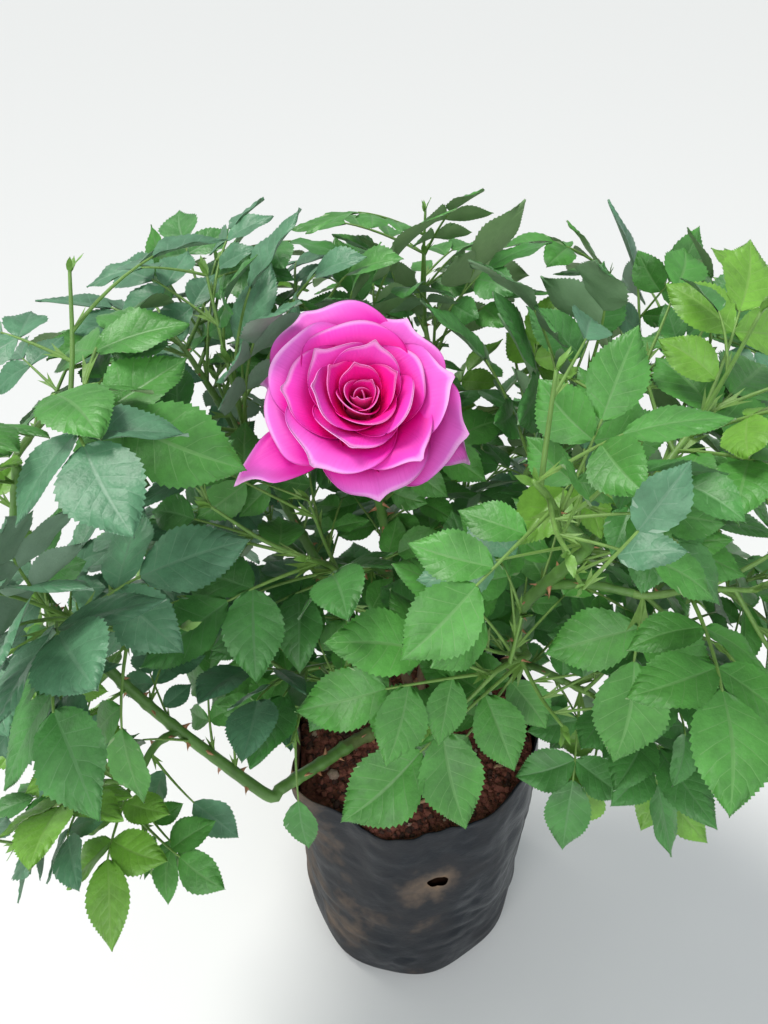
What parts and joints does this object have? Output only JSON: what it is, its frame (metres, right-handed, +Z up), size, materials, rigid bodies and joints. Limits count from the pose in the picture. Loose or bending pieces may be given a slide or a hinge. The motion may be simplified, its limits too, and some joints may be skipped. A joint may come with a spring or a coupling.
{
  "type": "rose bush in a nursery bag",
  "caption": "Small patio rose bush with one open double flower, leafy thorny stems on a short trunk, growing in a black film bag of soil.",
  "frame": {"origin": "middle of the bag's flat underside", "axes": "+Z up, -Y towards the viewer of the picture, +X to the viewer's right"},
  "size_m": [0.3281, 0.2429, 0.3577],
  "materials": {
    "film": "satin",
    "soil": "matte",
    "bark": "matte",
    "cane": "satin",
    "leaf": "satin",
    "petal": "matte"
  },
  "bodies": {
    "root": {"bag": "film", "bloom": "petal", "bough_back_left_low": "cane", "bough_back_low": "cane", "bough_back_right_low": "cane", "bough_bloom_left": "cane", "bough_bloom_right": "cane", "bough_front": "cane", "bough_inner_left": "cane", "bough_left_low": "cane", "bough_left_middle": "cane", "bough_middle": "cane", "bough_right": "cane", "bough_right_fork": "cane", "bough_right_low": "cane", "bough_right_top": "cane", "bough_top": "cane", "cane_back": "cane", "cane_back_left": "cane", "cane_back_right": "cane", "cane_bloom": "cane", "cane_left": "cane", "cane_left_foot": "cane", "cane_right": "cane", "leaves_back": "leaf", "leaves_back_left": "leaf", "leaves_back_left_low": "leaf", "leaves_back_low": "leaf", "leaves_back_right": "leaf", "leaves_back_right_low": "leaf", "leaves_bloom_left": "leaf", "leaves_bloom_right": "leaf", "leaves_fork": "leaf", "leaves_front": "leaf", "leaves_inner_left": "leaf", "leaves_left_low": "leaf", "leaves_left_middle": "leaf", "leaves_left_top": "leaf", "leaves_middle": "leaf", "leaves_right": "leaf", "leaves_right_low": "leaf", "leaves_right_top": "leaf", "leaves_top": "leaf", "soil": "soil", "trunk": "bark"}
  },
  "joints": []
}
